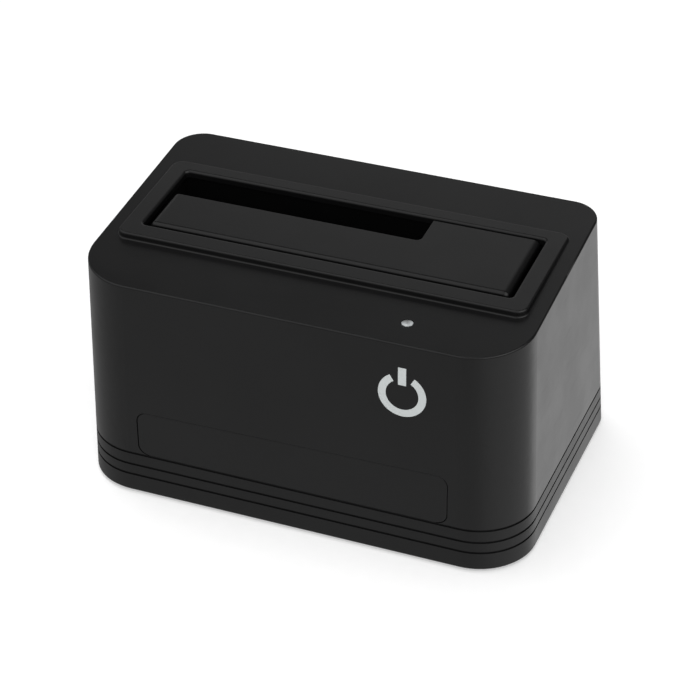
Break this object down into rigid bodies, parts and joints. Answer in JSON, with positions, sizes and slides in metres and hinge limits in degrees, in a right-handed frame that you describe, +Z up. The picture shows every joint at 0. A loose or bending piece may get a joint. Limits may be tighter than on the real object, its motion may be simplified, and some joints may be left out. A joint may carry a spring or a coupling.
{
  "type": "usb docking station",
  "caption": "Desktop dock that holds a bare hard disk drive upright in a slot with a folding flap, with rear data and power sockets.",
  "frame": {"origin": "centre of the base outline, on the surface that the feet stand on", "axes": "+X to the right of someone facing the dock, +Y to its back, where the sockets are, +Z up"},
  "size_m": [0.128, 0.0852, 0.073],
  "materials": {
    "housing_black": "fine moulded satin black ABS",
    "panel_black": "fine moulded satin black ABS",
    "flap_black": "fine moulded satin black ABS",
    "well_black": "plain moulded black ABS",
    "button_black": "satin black ABS",
    "symbol_white": "flat white ink",
    "steel": "drawn steel wire",
    "spring_steel": "spring wire",
    "screw_steel": "zinc plated",
    "nickel_plate": "bright nickel plate",
    "contact_gold": "gold flash",
    "connector_black": "glass filled nylon",
    "insulator_white": "natural nylon",
    "switch_grey": "glass filled nylon",
    "board_green": "green solder mask",
    "chip_black": "moulded epoxy",
    "aluminium_can": "drawn can",
    "inductor_grey": "sintered ferrite",
    "ceramic_tan": "fired ceramic",
    "led_body": "milky epoxy",
    "clear_acrylic": "clear polished acrylic",
    "rubber": "moulded rubber"
  },
  "bodies": {
    "dock": {"upper_housing": "housing_black", "base_tray": "housing_black", "front_blank_panel": "panel_black", "power_symbol_inlay": "symbol_white", "drive_well": "well_black", "flap_hinge_pin": "steel", "flap_spring": "spring_steel", "sata_connector_body": "connector_black", "sata_contacts": "contact_gold", "main_board": "board_green", "usb_socket_shell": "nickel_plate", "usb_socket_insulator": "insulator_white", "usb_socket_contacts": "contact_gold", "dc_jack_body": "connector_black", "dc_jack_pin": "nickel_plate", "power_switch_body": "switch_grey", "bridge_chip": "chip_black", "flash_chip": "chip_black", "electrolytic_capacitors": "aluminium_can", "power_inductor": "inductor_grey", "crystal": "aluminium_can", "voltage_regulators": "chip_black", "chip_passives": "ceramic_tan", "status_led": "led_body", "light_pipe": "clear_acrylic", "rubber_feet": "rubber", "case_screws": "screw_steel", "board_screws": "screw_steel", "well_screws": "screw_steel"},
    "flap": {"slot_flap": "flap_black"},
    "button": {"power_switch_button": "button_black"}
  },
  "joints": [
    {"name": "flap_hinge", "type": "hinge", "parent": "dock", "child": "flap", "pos_m": [0, -0.019, 0.06728], "axis": [-1, 0, 0], "range_deg": [0, 92], "stiffness_Nm_per_rad": 0.004, "springref_deg": -28.65, "deforming": ["flap_spring"]},
    {"name": "power_button_push", "type": "slide", "parent": "dock", "child": "button", "axis": [0, -1, 0], "range_m": [0, 0.0025], "stiffness_N_per_m": 400, "springref_m": -0.002}
  ]
}
